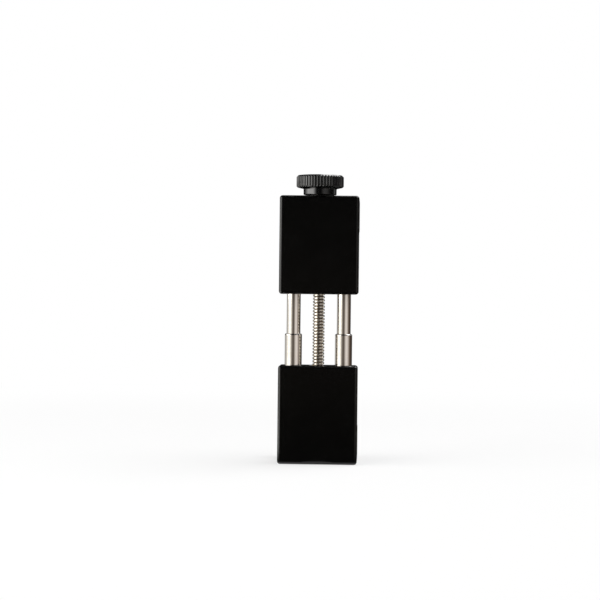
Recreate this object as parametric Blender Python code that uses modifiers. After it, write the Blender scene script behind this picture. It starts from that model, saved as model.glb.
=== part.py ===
"""Tripod phone mount adapter: two black jaws on telescoping guides, drawn together by a lead screw.

The lower jaw carries the tripod bushing, the lead nut and two guide tubes. The upper jaw carries two
guide rods that slide in the tubes, a slot for a camera shoe, and the knob and lead screw that turn in it.

-Y is the plain back of the jaws and +Y the side that holds the phone. +Z is up. The origin lies on the
axis of the tripod bushing, in the plane of the base. Left and right are as seen from the back.
"""

import math

import bmesh
import bpy

MM = 0.001

# Both jaws are lengths of one milled channel section
JAW_WIDTH = 26.8 * MM
JAW_HEIGHT = 33.2 * MM
BACK_THICKNESS = 11.0 * MM
FLOOR_THICKNESS = 5.3 * MM
CHANNEL_DEPTH = 14.0 * MM
LIP_THICKNESS = 6.5 * MM
LIP_HEIGHT = 12.0 * MM
EDGE_ROUND = 1.0 * MM
EDGE_SEGMENTS = 3

# Free height between the two jaws as they stand
JAW_GAP = 24.0 * MM

# Clearances: flat seats, turned pieces in bores, thrust faces, and rods' ends above a blind floor
SEAT_GAP = 0.3 * MM
BORE_GAP = 0.15 * MM
THRUST_GAP = 0.2 * MM
TIP_GAP = 0.6 * MM

# Guides, one pair each side of the lead screw
GUIDE_SPACING = 17.0 * MM
ROD_RADIUS = 2.35 * MM
TUBE_WALL = 0.4 * MM
TUBE_STAND = 10.2 * MM
TUBE_FLOOR = 2.7 * MM
TUBE_LIP_ROUND = 0.3 * MM
ROD_HOLD = 15.7 * MM
END_CHAMFER = 0.4 * MM

# Lead screw, trapezoidal thread
SCREW_RADIUS = 2.0 * MM
THREAD_PITCH = 1.06 * MM
THREAD_DEPTH = 0.5 * MM
CREST_SHARE = 0.42
FLANK_SHARE = 0.19
THREAD_STEPS = 12
THREAD_RUNOUT = 3.0 * MM
SCREW_FLOOR = 1.5 * MM
SHANK_IN_KNOB = 3.2 * MM
BUSHING_TO_SCREW = 9.0 * MM

# Lead nut, pressed into the top of the lower jaw until it lies a little below it
NUT_RADIUS = 3.5 * MM
NUT_HEIGHT = 6.0 * MM
NUT_SUNK = 0.8 * MM

# Collar that keeps the lead screw in the upper jaw, and the step that it bears on
COLLAR_RADIUS = 2.95 * MM
COLLAR_HEIGHT = 2.0 * MM
COLLAR_DEPTH = 8.0 * MM

# Knurled knob, and the washer let into the jaw under its neck
KNOB_RADIUS = 8.0 * MM
KNOB_HEAD = 4.1 * MM
KNOB_NECK_RADIUS = 5.6 * MM
KNOB_NECK = 2.85 * MM
KNOB_CHAMFER = 0.4 * MM
KNOB_CONE = 0.45 * MM
KNOB_DISH_RADIUS = 5.4 * MM
KNOB_DISH_DEPTH = 0.35 * MM
KNURL_TEETH = 48
KNURL_DEPTH = 0.34 * MM
WASHER_RADIUS = 4.1 * MM
WASHER_HEIGHT = 0.5 * MM
WASHER_INLET = 0.5 * MM

# Tripod bushing for the 1/4 inch camera screw
SOCKET_RADIUS = 3.2 * MM
BUSHING_WALL = 1.1 * MM
BUSHING_SKIN = 0.6 * MM
BUSHING_CHAMFER = 0.35 * MM

# Shoe slot in the top of the upper jaw
SHOE_THROAT = 12.6 * MM
SHOE_RAIL = 1.2 * MM
SHOE_FOOT_WIDTH = 18.8 * MM
SHOE_FOOT_HEIGHT = 2.1 * MM
SHOE_LENGTH = 16.0 * MM
SHOE_CORNER = 1.5 * MM

# Rubber: a ribbed liner in each channel and a grooved pad let into each back plate
PAD_THICKNESS = 1.0 * MM
LINER_SIDE_MARGIN = 1.0 * MM
LINER_RIBS = 5
RIB_HEIGHT = 0.35 * MM
RIB_WIDTH = 1.1 * MM
PAD_INLET = 0.5 * MM
PAD_SIDE_MARGIN = 2.0 * MM
PAD_END_MARGIN = 2.3 * MM
PAD_CORNER = 1.6 * MM
PAD_GROOVES = 5
GROOVE_WIDTH = 0.9 * MM
GROOVE_DEPTH = 0.4 * MM

# Grub screws that lock the rods, the tubes and the knob
GRUB_RADIUS = 1.25 * MM
GRUB_SOCKET_RADIUS = 0.72 * MM
GRUB_SOCKET_DEPTH = 0.9 * MM
ROD_GRUB_DEPTH = 18.0 * MM
TUBE_GRUB_DEPTH = 17.0 * MM
KNOB_GRUB_RECESS = 0.8 * MM
KNOB_LOCK_RISE = 1.9 * MM

SEGMENTS = 24
SMALL_SEGMENTS = 12
KNOB_SEGMENTS = 48
SMALL_CHAMFER = 0.25 * MM
SMOOTH_ANGLE = math.radians(32)
PAST = 1.0 * MM

# Places that follow from the sizes above
TOP_Z = 2 * JAW_HEIGHT + JAW_GAP
SCREW_Y = -BUSHING_TO_SCREW
BACK_Y = SCREW_Y - BACK_THICKNESS / 2
PLATE_Y = SCREW_Y + BACK_THICKNESS / 2
LIP_Y = PLATE_Y + CHANNEL_DEPTH
FRONT_Y = LIP_Y + LIP_THICKNESS
GUIDE_X = GUIDE_SPACING / 2
TUBE_BORE_RADIUS = ROD_RADIUS + BORE_GAP
TUBE_RADIUS = TUBE_BORE_RADIUS + TUBE_WALL
SIDES = {"left": -1, "right": 1}


def lower(depth):
    """Height in the lower jaw of something this far in from its outer face."""
    return depth


def upper(depth):
    """Height in the upper jaw of something this far in from its outer face."""
    return TOP_Z - depth


def empty_the_file():
    for obj in list(bpy.data.objects):
        bpy.data.objects.remove(obj)


def new_collection(name):
    made = bpy.data.collections.new(name)
    bpy.context.scene.collection.children.link(made)
    return made


def new_material(name, colour, metallic, roughness):
    made = bpy.data.materials.new(name)
    made.use_nodes = True
    shader = made.node_tree.nodes["Principled BSDF"]
    shader.inputs["Base Color"].default_value = (*colour, 1)
    shader.inputs["Metallic"].default_value = metallic
    shader.inputs["Roughness"].default_value = roughness
    made.diffuse_color = (*colour, 1)
    return made


empty_the_file()
ADAPTER = new_collection("tripod_phone_adapter")
CUTTERS = new_collection("cutters")

BLACK_ALUMINIUM = new_material("black_anodised_aluminium", (0.012, 0.012, 0.013), 0.6, 0.42)
KNOB_BLACK = new_material("gloss_black_knob", (0.015, 0.015, 0.016), 0.7, 0.3)
BRIGHT_STEEL = new_material("polished_steel", (0.80, 0.78, 0.75), 1.0, 0.12)
SCREW_STEEL = new_material("screw_steel", (0.62, 0.58, 0.52), 1.0, 0.3)
BRASS = new_material("brass", (0.75, 0.56, 0.27), 1.0, 0.3)
RUBBER = new_material("black_rubber", (0.02, 0.02, 0.02), 0.0, 0.85)
DARK_STEEL = new_material("black_oxide_steel", (0.05, 0.05, 0.055), 1.0, 0.4)
NYLON = new_material("black_nylon", (0.03, 0.03, 0.03), 0.0, 0.5)


def add_object(name, mesh, material=None, at=(0, 0, 0)):
    """A piece of the adapter where a material is given, and otherwise a cutter."""
    obj = bpy.data.objects.new(name, mesh)
    obj.location = at
    if material is None:
        CUTTERS.objects.link(obj)
        obj.hide_render = True
        obj.display_type = "WIRE"
    else:
        ADAPTER.objects.link(obj)
        mesh.materials.append(material)
    return obj


def mesh_of(bm, name):
    bmesh.ops.recalc_face_normals(bm, faces=bm.faces)
    mesh = bpy.data.meshes.new(name)
    bm.to_mesh(mesh)
    bm.free()
    return mesh


def prism(name, outline, thickness, rotation=(0, 0, 0), material=None, at=(0, 0, 0)):
    """A flat outline drawn as a 2D curve and given thickness both ways from its plane, as a mesh."""
    curve = bpy.data.curves.new(name, "CURVE")
    curve.dimensions = "2D"
    curve.fill_mode = "BOTH"
    curve.extrude = thickness / 2
    spline = curve.splines.new("POLY")
    spline.points.add(len(outline) - 1)
    for point, (x, y) in zip(spline.points, outline):
        point.co = (x, y, 0, 1)
    spline.use_cyclic_u = True
    drawn = bpy.data.objects.new(name + "_outline", curve)
    bpy.context.scene.collection.objects.link(drawn)
    bpy.context.view_layer.update()
    graph = bpy.context.evaluated_depsgraph_get()
    mesh = bpy.data.meshes.new_from_object(drawn.evaluated_get(graph))
    bpy.data.objects.remove(drawn)
    bm = bmesh.new()
    bm.from_mesh(mesh)
    bmesh.ops.remove_doubles(bm, verts=bm.verts, dist=0.001 * MM)
    bmesh.ops.dissolve_limit(bm, angle_limit=math.radians(1), verts=bm.verts, edges=bm.edges)
    made = add_object(name, mesh_of(bm, name), material, at)
    made.rotation_euler = rotation
    return made


# Turn a drawn (x, y) outline into (y, z) with its thickness along X, or into (x, z) with it along Y
ALONG_X = (math.radians(90), 0, math.radians(90))
ALONG_Y = (math.radians(90), 0, 0)


def rounded_rectangle(width, height, radius, centre=(0, 0), steps=4):
    """Points round a rectangle whose corners are quarter circles."""
    points = []
    for quarter in range(4):
        turn = math.radians(90 * quarter)
        sx = 1 if quarter in (0, 3) else -1
        sy = 1 if quarter in (0, 1) else -1
        cx = centre[0] + sx * (width / 2 - radius)
        cy = centre[1] + sy * (height / 2 - radius)
        for step in range(steps + 1):
            angle = turn + math.radians(90) * step / steps
            points.append((cx + radius * math.cos(angle), cy + radius * math.sin(angle)))
    return points


def turned(name, profile, material=None, at=(0, 0, 0), closed=False, segments=SEGMENTS):
    """A lathe shape about Z. The profile is (radius, height) points that run down its outer side."""
    mesh = bpy.data.meshes.new(name)
    edges = [(i, i + 1) for i in range(len(profile) - 1)]
    if closed:
        edges.append((len(profile) - 1, 0))
    mesh.from_pydata([(radius, 0, height) for radius, height in profile], edges, [])
    made = add_object(name, mesh, material, at)
    screw = made.modifiers.new("turned", "SCREW")
    screw.axis = "Z"
    screw.steps = segments
    screw.render_steps = segments
    screw.use_merge_vertices = True
    screw.merge_threshold = 0.001 * MM
    screw.use_smooth_shade = True
    return made


def rod_profile(radius, bottom, top, chamfer):
    """Solid bar with both ends chamfered."""
    return [
        (0, top),
        (radius - chamfer, top),
        (radius, top - chamfer),
        (radius, bottom + chamfer),
        (radius - chamfer, bottom),
        (0, bottom),
    ]


def ring_profile(outer, inner, bottom, top, chamfer=0.0):
    """Ring or tube whose outer edges are chamfered where a chamfer is given."""
    if not chamfer:
        return [(outer, top), (outer, bottom), (inner, bottom), (inner, top)]
    return [
        (outer - chamfer, top),
        (outer, top - chamfer),
        (outer, bottom + chamfer),
        (outer - chamfer, bottom),
        (inner, bottom),
        (inner, top),
    ]


def bore(name, radius, bottom, top, x=0.0, y=SCREW_Y, segments=SEGMENTS):
    """Upright cylinder that cuts a round hole."""
    bm = bmesh.new()
    bmesh.ops.create_cone(
        bm, cap_ends=True, segments=segments, radius1=radius, radius2=radius, depth=top - bottom
    )
    return add_object(name, mesh_of(bm, name), at=(x, y, (top + bottom) / 2))


def cross_bore(name, radius, x, y_from, y_to, z, segments=SMALL_SEGMENTS):
    """Cylinder along Y that cuts a round hole into a face."""
    bm = bmesh.new()
    bmesh.ops.create_cone(
        bm, cap_ends=True, segments=segments, radius1=radius, radius2=radius, depth=y_to - y_from
    )
    made = add_object(name, mesh_of(bm, name), at=(x, (y_from + y_to) / 2, z))
    made.rotation_euler = ALONG_Y
    return made


def boolean(obj, tools, operation="DIFFERENCE"):
    for tool in tools:
        step = obj.modifiers.new(tool.name, "BOOLEAN")
        step.operation = operation
        step.solver = "EXACT"
        step.object = tool


def round_edges(obj, width, segments):
    bevel = obj.modifiers.new("rounded_edges", "BEVEL")
    bevel.width = width
    bevel.segments = segments
    bevel.limit_method = "ANGLE"
    bevel.angle_limit = math.radians(40)


def jaw_body(name, height_at):
    """The channel section: a thick back plate, a floor and a short lip, with every edge broken."""
    outline = [
        (BACK_Y, height_at(0)),
        (FRONT_Y, height_at(0)),
        (FRONT_Y, height_at(LIP_HEIGHT)),
        (LIP_Y, height_at(LIP_HEIGHT)),
        (LIP_Y, height_at(FLOOR_THICKNESS)),
        (PLATE_Y, height_at(FLOOR_THICKNESS)),
        (PLATE_Y, height_at(JAW_HEIGHT)),
        (BACK_Y, height_at(JAW_HEIGHT)),
    ]
    body = prism(name, outline, JAW_WIDTH, ALONG_X, BLACK_ALUMINIUM)
    round_edges(body, EDGE_ROUND, EDGE_SEGMENTS)
    return body


def pad_span():
    """Depths from the outer face at which the back pad starts and ends."""
    return LIP_HEIGHT + SEAT_GAP + EDGE_ROUND, JAW_HEIGHT - PAD_END_MARGIN


def pad_outline(height_at, grow=0.0):
    near, far = pad_span()
    return rounded_rectangle(
        JAW_WIDTH - 2 * PAD_SIDE_MARGIN + 2 * grow,
        far - near + 2 * grow,
        PAD_CORNER + grow,
        centre=(0, height_at((near + far) / 2)),
    )


def pad_pocket(name, height_at):
    """Shallow pocket in the front of the back plate, which the pad is let into."""
    return prism(
        name,
        pad_outline(height_at, grow=SEAT_GAP),
        2 * PAD_INLET,
        ALONG_Y,
        at=(0, PLATE_Y, 0),
    )


def back_pad(name, height_at):
    """Flat rubber pad that the back of the phone lies on, with grooves across it."""
    back = PLATE_Y - PAD_INLET + SEAT_GAP
    front = PLATE_Y + SEAT_GAP + PAD_THICKNESS
    pad = prism(
        name, pad_outline(height_at), front - back, ALONG_Y, RUBBER, at=(0, (front + back) / 2, 0)
    )
    near, far = pad_span()
    bm = bmesh.new()
    for groove in range(PAD_GROOVES):
        depth = near + (far - near) * (groove + 1) / (PAD_GROOVES + 1)
        made = bmesh.ops.create_cube(bm, size=1)["verts"]
        bmesh.ops.scale(bm, vec=(JAW_WIDTH, 2 * GROOVE_DEPTH, GROOVE_WIDTH), verts=made)
        bmesh.ops.translate(bm, vec=(0, front, height_at(depth)), verts=made)
    boolean(pad, [add_object(name + "_grooves", mesh_of(bm, name + "_grooves"))])
    return pad


def liner_outline(height_at):
    """The liner's U section: up the back plate, along the floor with its ribs, and up the lip."""
    floor = FLOOR_THICKNESS + SEAT_GAP
    seat = floor + PAD_THICKNESS
    back, front = PLATE_Y + SEAT_GAP, LIP_Y - SEAT_GAP
    inner_back, inner_front = back + PAD_THICKNESS, front - PAD_THICKNESS
    rim = LIP_HEIGHT - EDGE_ROUND
    corner = EDGE_ROUND
    points = [
        (back, rim),
        (back, floor + corner),
        (back + corner, floor),
        (front - corner, floor),
        (front, floor + corner),
        (front, rim),
        (inner_front, rim),
        (inner_front, seat),
    ]
    spacing = (inner_front - inner_back) / LINER_RIBS
    for rib in range(LINER_RIBS):
        middle = inner_front - spacing * (rib + 0.5)
        for offset, rise in ((0.5, 0), (0.3, 1), (-0.3, 1), (-0.5, 0)):
            points.append((middle + RIB_WIDTH * offset, seat + RIB_HEIGHT * rise))
    points += [(inner_back, seat), (inner_back, rim)]
    return [(y, height_at(depth)) for y, depth in points]


def channel_liner(name, height_at):
    width = JAW_WIDTH - 2 * LINER_SIDE_MARGIN
    return prism(name, liner_outline(height_at), width, ALONG_X, RUBBER)


def grub_screw(name, length, material=DARK_STEEL):
    """Headless screw along Z, point down, with a hexagon socket in its top."""
    made = turned(
        name,
        rod_profile(GRUB_RADIUS, 0, length, SMALL_CHAMFER),
        material,
        segments=SMALL_SEGMENTS,
    )
    bm = bmesh.new()
    bmesh.ops.create_cone(
        bm,
        cap_ends=True,
        segments=6,
        radius1=GRUB_SOCKET_RADIUS,
        radius2=GRUB_SOCKET_RADIUS,
        depth=2 * GRUB_SOCKET_DEPTH,
    )
    socket = add_object(name + "_socket", mesh_of(bm, name + "_socket"), at=(0, 0, length))
    boolean(made, [socket])
    socket.parent = made
    return made


def lock_screw(name, x, y_from, y_to, z):
    """Grub screw laid along +Y, its point at y_from and its socket at y_to."""
    made = grub_screw(name, y_to - y_from)
    made.location = (x, y_from, z)
    made.rotation_euler = (math.radians(-90), 0, 0)
    return made


def tripod_bushing():
    """Steel bushing, flush with the base, whose thread takes the tripod's screw."""
    top = FLOOR_THICKNESS - BUSHING_SKIN - SEAT_GAP
    outer = SOCKET_RADIUS + BUSHING_WALL
    profile = [
        (outer, top),
        (outer, 0),
        (SOCKET_RADIUS + BUSHING_CHAMFER, 0),
        (SOCKET_RADIUS, BUSHING_CHAMFER),
        (SOCKET_RADIUS, top),
    ]
    return turned("tripod_bushing", profile, BRIGHT_STEEL, closed=True)


def lead_nut():
    """Brass bush whose thread the screw turns in. Its bore clears the screw's crests."""
    top = JAW_HEIGHT - NUT_SUNK
    profile = ring_profile(
        NUT_RADIUS, SCREW_RADIUS + BORE_GAP, top - NUT_HEIGHT, top, SMALL_CHAMFER
    )
    return turned("lead_nut", profile, BRASS, at=(0, SCREW_Y, 0), closed=True)


def guide_tube(name, x):
    """Thin tube fixed in the lower jaw, its mouth rounded in towards the rod."""
    bottom = TUBE_FLOOR + SEAT_GAP
    top = JAW_HEIGHT + TUBE_STAND
    profile = [
        (TUBE_RADIUS - TUBE_LIP_ROUND, top),
        (TUBE_RADIUS - 0.3 * TUBE_LIP_ROUND, top - 0.3 * TUBE_LIP_ROUND),
        (TUBE_RADIUS, top - TUBE_LIP_ROUND),
        (TUBE_RADIUS, bottom),
        (TUBE_BORE_RADIUS, bottom),
        (TUBE_BORE_RADIUS, top),
    ]
    return turned(name, profile, BRIGHT_STEEL, at=(x, SCREW_Y, 0), closed=True)


def rod_bore_depths():
    """Depths of the rods' top ends and of the step above the tubes, from the upper jaw's outer face."""
    step = JAW_HEIGHT - TUBE_STAND - TIP_GAP
    return step - ROD_HOLD, step


def guide_rod(name, x):
    """Solid rod fixed in the upper jaw, which runs down inside the tube."""
    bottom = TUBE_FLOOR + TIP_GAP + JAW_GAP
    top = upper(rod_bore_depths()[0] + SEAT_GAP)
    profile = rod_profile(ROD_RADIUS, bottom, top, END_CHAMFER)
    return turned(name, profile, BRIGHT_STEEL, at=(x, SCREW_Y, 0))


def lower_jaw():
    body = jaw_body("lower_jaw_body", lower)
    tools = [
        pad_pocket("lower_pad_pocket", lower),
        bore(
            "bushing_bore",
            SOCKET_RADIUS + BUSHING_WALL + BORE_GAP,
            -PAST,
            FLOOR_THICKNESS - BUSHING_SKIN,
            y=0,
        ),
        bore("screw_well", SCREW_RADIUS + 2 * BORE_GAP, SCREW_FLOOR, JAW_HEIGHT + PAST),
        bore(
            "nut_bore",
            NUT_RADIUS + BORE_GAP,
            JAW_HEIGHT - NUT_SUNK - NUT_HEIGHT - SEAT_GAP,
            JAW_HEIGHT + PAST,
        ),
    ]
    pieces = [
        body,
        channel_liner("lower_channel_liner", lower),
        back_pad("lower_back_pad", lower),
        lead_nut(),
        tripod_bushing(),
    ]
    pocket_y = PLATE_Y - PAD_INLET
    lock_z = lower(TUBE_GRUB_DEPTH)
    for side, sign in SIDES.items():
        x = sign * GUIDE_X
        tools.append(
            bore(side + "_tube_bore", TUBE_RADIUS + BORE_GAP, TUBE_FLOOR, JAW_HEIGHT + PAST, x=x)
        )
        tools.append(
            cross_bore(side + "_tube_lock_bore", GRUB_RADIUS + BORE_GAP, x, SCREW_Y, PLATE_Y, lock_z)
        )
        pieces.append(guide_tube(side + "_guide_tube", x))
        tube_front = SCREW_Y + TUBE_RADIUS + BORE_GAP
        pieces.append(
            lock_screw(side + "_tube_set_screw", x, tube_front, pocket_y - SEAT_GAP / 2, lock_z)
        )
    boolean(body, tools)
    return pieces


def shoe_slot():
    """The throat between the rails and the wider slot under them, both open at the front."""
    tools = []
    length = SHOE_LENGTH + PAST
    middle = FRONT_Y + PAST - length / 2
    for name, width, top, height in (
        ("shoe_throat", SHOE_THROAT, -PAST, SHOE_RAIL + SHOE_FOOT_HEIGHT / 2 + PAST),
        ("shoe_undercut", SHOE_FOOT_WIDTH, SHOE_RAIL, SHOE_FOOT_HEIGHT),
    ):
        outline = rounded_rectangle(width, length, SHOE_CORNER, centre=(0, middle))
        tools.append(prism(name, outline, height, at=(0, 0, upper(top + height / 2))))
    return tools


def upper_jaw():
    body = jaw_body("upper_jaw_body", upper)
    bottom = TOP_Z - JAW_HEIGHT
    rod_top, tube_step = rod_bore_depths()
    tools = [
        pad_pocket("upper_pad_pocket", upper),
        *shoe_slot(),
        bore("washer_seat", WASHER_RADIUS + BORE_GAP, upper(WASHER_INLET), TOP_Z + PAST),
        bore("shank_bore", SCREW_RADIUS + BORE_GAP, bottom - PAST, TOP_Z + PAST),
        bore("collar_bore", COLLAR_RADIUS + BORE_GAP, bottom - PAST, upper(COLLAR_DEPTH)),
    ]
    pieces = [
        body,
        channel_liner("upper_channel_liner", upper),
        back_pad("upper_back_pad", upper),
        thrust_washer(),
    ]
    pocket_y = PLATE_Y - PAD_INLET
    lock_z = upper(ROD_GRUB_DEPTH)
    for side, sign in SIDES.items():
        x = sign * GUIDE_X
        tools.append(bore(side + "_rod_bore", TUBE_BORE_RADIUS, bottom - PAST, upper(rod_top), x=x))
        tools.append(
            bore(side + "_tube_entry", TUBE_RADIUS + BORE_GAP, bottom - PAST, upper(tube_step), x=x)
        )
        tools.append(
            cross_bore(side + "_rod_lock_bore", GRUB_RADIUS + BORE_GAP, x, SCREW_Y, PLATE_Y, lock_z)
        )
        pieces.append(guide_rod(side + "_guide_rod", x))
        rod_front = SCREW_Y + ROD_RADIUS + BORE_GAP
        pieces.append(
            lock_screw(side + "_rod_set_screw", x, rod_front, pocket_y - SEAT_GAP / 2, lock_z)
        )
    boolean(body, tools)
    return pieces


def washer_bottom():
    return upper(WASHER_INLET) + THRUST_GAP


def thrust_washer():
    """Thin washer between the knob's neck and the jaw."""
    bottom = washer_bottom()
    profile = ring_profile(
        WASHER_RADIUS, SCREW_RADIUS + 2 * BORE_GAP, bottom, bottom + WASHER_HEIGHT
    )
    return turned("thrust_washer", profile, NYLON, at=(0, SCREW_Y, 0), closed=True)


def threaded_length(bottom, top):
    """Core and thread as one skin: one pitch of the section is wound up the axis, then cut off square."""
    root = SCREW_RADIUS - THREAD_DEPTH
    flank = FLANK_SHARE * THREAD_PITCH
    crest = CREST_SHARE * THREAD_PITCH
    start = bottom - 2 * THREAD_PITCH
    heights = [0, flank, flank + crest, 2 * flank + crest, THREAD_PITCH]
    radii = [root, SCREW_RADIUS, SCREW_RADIUS, root, root]
    turns = math.ceil((top - bottom) / THREAD_PITCH) + 4
    bm = bmesh.new()
    section = [bm.verts.new((radius, 0, start + rise)) for radius, rise in zip(radii, heights)]
    edges = [bm.edges.new(pair) for pair in zip(section, section[1:])]
    bmesh.ops.spin(
        bm,
        geom=section + edges,
        cent=(0, 0, 0),
        axis=(0, 0, 1),
        dvec=(0, 0, THREAD_PITCH / THREAD_STEPS),
        angle=math.radians(360) * turns,
        steps=THREAD_STEPS * turns,
    )
    bmesh.ops.remove_doubles(bm, verts=bm.verts, dist=0.002 * MM)
    for height, side in ((bottom, -1), (top, 1)):
        everything = bm.verts[:] + bm.edges[:] + bm.faces[:]
        bmesh.ops.bisect_plane(
            bm,
            geom=everything,
            dist=0.0001 * MM,
            plane_co=(0, 0, height),
            plane_no=(0, 0, side),
            clear_outer=True,
        )
        rim = [edge for edge in bm.edges if all(abs(v.co.z - height) < 0.001 * MM for v in edge.verts)]
        bmesh.ops.holes_fill(bm, edges=[edge for edge in rim if edge.is_boundary], sides=0)
    return mesh_of(bm, "thread")


def lead_screw():
    """Screw from its tip in the nut to its top end in the knob, plain where it turns in the upper jaw."""
    tip = SCREW_FLOOR + TIP_GAP + JAW_GAP
    thread_top = TOP_Z - JAW_HEIGHT + THREAD_RUNOUT
    made = add_object("lead_screw", threaded_length(tip, thread_top), SCREW_STEEL, (0, SCREW_Y, 0))
    shank_top = TOP_Z + KNOB_NECK + SHANK_IN_KNOB
    shank = turned(
        "screw_shank",
        rod_profile(SCREW_RADIUS, thread_top - THREAD_PITCH, shank_top, END_CHAMFER),
        at=(0, SCREW_Y, 0),
    )
    boolean(made, [shank], "UNION")
    return made


def retaining_collar():
    """Collar fixed on the screw under a step in the jaw, so that the screw can push the jaw up as well."""
    top = upper(COLLAR_DEPTH) - THRUST_GAP
    profile = ring_profile(
        COLLAR_RADIUS, SCREW_RADIUS + BORE_GAP, top - COLLAR_HEIGHT, top, SMALL_CHAMFER
    )
    return turned("retaining_collar", profile, DARK_STEEL, at=(0, SCREW_Y, 0), closed=True)


def knob_lock_height():
    return TOP_Z + KNOB_NECK + KNOB_LOCK_RISE


def knurl_outline():
    """Straight knurling: a narrow flat on each tooth and on each valley between."""
    points = []
    for tooth in range(KNURL_TEETH):
        for share, radius in (
            (-0.12, KNOB_RADIUS),
            (0.12, KNOB_RADIUS),
            (0.44, KNOB_RADIUS - KNURL_DEPTH),
            (0.56, KNOB_RADIUS - KNURL_DEPTH),
        ):
            angle = math.radians(360) * (tooth + share) / KNURL_TEETH
            points.append((radius * math.cos(angle), radius * math.sin(angle)))
    return points


def knob():
    """Knurled head on a plain neck, bored for the screw's end. Its top is dished and its underside coned."""
    bottom = TOP_Z + KNOB_NECK
    top = bottom + KNOB_HEAD
    neck_bottom = washer_bottom() + WASHER_HEIGHT + THRUST_GAP
    made = prism(
        "knob",
        knurl_outline(),
        KNOB_HEAD + 2 * PAST,
        material=KNOB_BLACK,
        at=(0, SCREW_Y, (top + bottom) / 2),
    )
    wide = KNOB_RADIUS + PAST
    envelope = turned(
        "knob_envelope",
        [
            (0, top - KNOB_DISH_DEPTH),
            (KNOB_DISH_RADIUS - KNOB_DISH_DEPTH, top - KNOB_DISH_DEPTH),
            (KNOB_DISH_RADIUS, top),
            (KNOB_RADIUS - KNOB_CHAMFER, top),
            (wide, top - KNOB_CHAMFER - PAST),
            (wide, bottom + KNOB_CHAMFER + PAST),
            (KNOB_RADIUS - KNOB_CHAMFER, bottom),
            (KNOB_NECK_RADIUS, bottom - KNOB_CONE),
            (0, bottom - KNOB_CONE),
        ],
        at=(0, SCREW_Y, 0),
        segments=KNOB_SEGMENTS,
    )
    neck = turned(
        "knob_neck",
        [
            (0, bottom + KNOB_HEAD / 2),
            (KNOB_NECK_RADIUS, bottom + KNOB_HEAD / 2),
            (KNOB_NECK_RADIUS, neck_bottom + SMALL_CHAMFER),
            (KNOB_NECK_RADIUS - SMALL_CHAMFER, neck_bottom),
            (0, neck_bottom),
        ],
        at=(0, SCREW_Y, 0),
        segments=KNOB_SEGMENTS,
    )
    hole_top = bottom + SHANK_IN_KNOB + SEAT_GAP
    hole = bore("knob_bore", SCREW_RADIUS + BORE_GAP, neck_bottom - PAST, hole_top)
    lock_hole = cross_bore(
        "knob_lock_bore", GRUB_RADIUS + BORE_GAP, 0, SCREW_Y, SCREW_Y + wide, knob_lock_height()
    )
    boolean(made, [envelope], "INTERSECT")
    boolean(made, [neck], "UNION")
    boolean(made, [hole, lock_hole])
    return made


def knob_and_screw():
    lock = lock_screw(
        "knob_set_screw",
        0,
        SCREW_Y + SCREW_RADIUS + BORE_GAP,
        SCREW_Y + KNOB_RADIUS - KNOB_GRUB_RECESS,
        knob_lock_height(),
    )
    return [knob(), lead_screw(), retaining_collar(), lock]


def bake(obj):
    """Makes the shape that the modifiers give the object's own mesh, smooth but for its true edges."""
    graph = bpy.context.evaluated_depsgraph_get()
    mesh = bpy.data.meshes.new_from_object(obj.evaluated_get(graph))
    obj.modifiers.clear()
    obj.data = mesh
    mesh.name = obj.name
    mesh.shade_smooth()
    mesh.set_sharp_from_angle(angle=SMOOTH_ANGLE)


def hold(name, pieces, at):
    """Parents pieces that move together to an empty on the axis that they move on."""
    holder = bpy.data.objects.new(name, None)
    holder.location = at
    ADAPTER.objects.link(holder)
    bpy.context.view_layer.update()
    for piece in pieces:
        piece.parent = holder
        piece.matrix_parent_inverse = holder.matrix_world.inverted()
    return holder


def build_adapter():
    groups = [
        ("lower_jaw", lower_jaw(), (0, 0, 0)),
        ("upper_jaw", upper_jaw(), (0, SCREW_Y, TOP_Z - JAW_HEIGHT)),
        ("knob_and_screw", knob_and_screw(), (0, SCREW_Y, TOP_Z)),
    ]
    bpy.context.view_layer.update()
    for _, pieces, _ in groups:
        for piece in pieces:
            bake(piece)
    for name, pieces, at in groups:
        hold(name, pieces, at)


build_adapter()
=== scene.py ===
"""Looks of a tripod phone mount adapter.

Finer milled, turned, threaded and moulded pieces stand for the plain ones. Their finishes, the
studio and the camera are here too.
"""
import math

import bmesh
import bpy
from mathutils import Matrix, Vector


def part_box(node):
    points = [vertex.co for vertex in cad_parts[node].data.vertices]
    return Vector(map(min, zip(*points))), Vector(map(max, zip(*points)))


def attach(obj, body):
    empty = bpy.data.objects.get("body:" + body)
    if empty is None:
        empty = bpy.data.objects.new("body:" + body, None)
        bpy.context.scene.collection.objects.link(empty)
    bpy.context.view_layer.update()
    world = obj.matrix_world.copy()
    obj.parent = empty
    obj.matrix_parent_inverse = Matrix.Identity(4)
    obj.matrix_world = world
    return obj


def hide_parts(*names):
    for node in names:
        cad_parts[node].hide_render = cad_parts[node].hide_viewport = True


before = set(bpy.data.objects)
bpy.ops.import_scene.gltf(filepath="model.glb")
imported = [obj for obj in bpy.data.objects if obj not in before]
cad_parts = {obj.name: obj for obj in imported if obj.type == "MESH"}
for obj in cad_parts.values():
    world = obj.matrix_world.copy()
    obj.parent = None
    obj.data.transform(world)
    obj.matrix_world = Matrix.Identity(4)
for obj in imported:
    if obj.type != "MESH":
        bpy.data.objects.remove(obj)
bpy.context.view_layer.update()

MM = 0.001
SIDES = ("left", "right")

# The screw, the knob and the guides stand on upright axes in one plane
AXIS_X = {"left": -8.5 * MM, "right": 8.5 * MM}
AXIS_Y = -9.0 * MM

# Section of the two jaws
JAW_HEIGHT = 33.2 * MM
PLATE_Y = -3.5 * MM
LIP_Y = 10.5 * MM
FLOOR_THICKNESS = 5.3 * MM
LIP_HEIGHT = 12.0 * MM
EDGE_ROUND = 1.0 * MM

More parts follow.
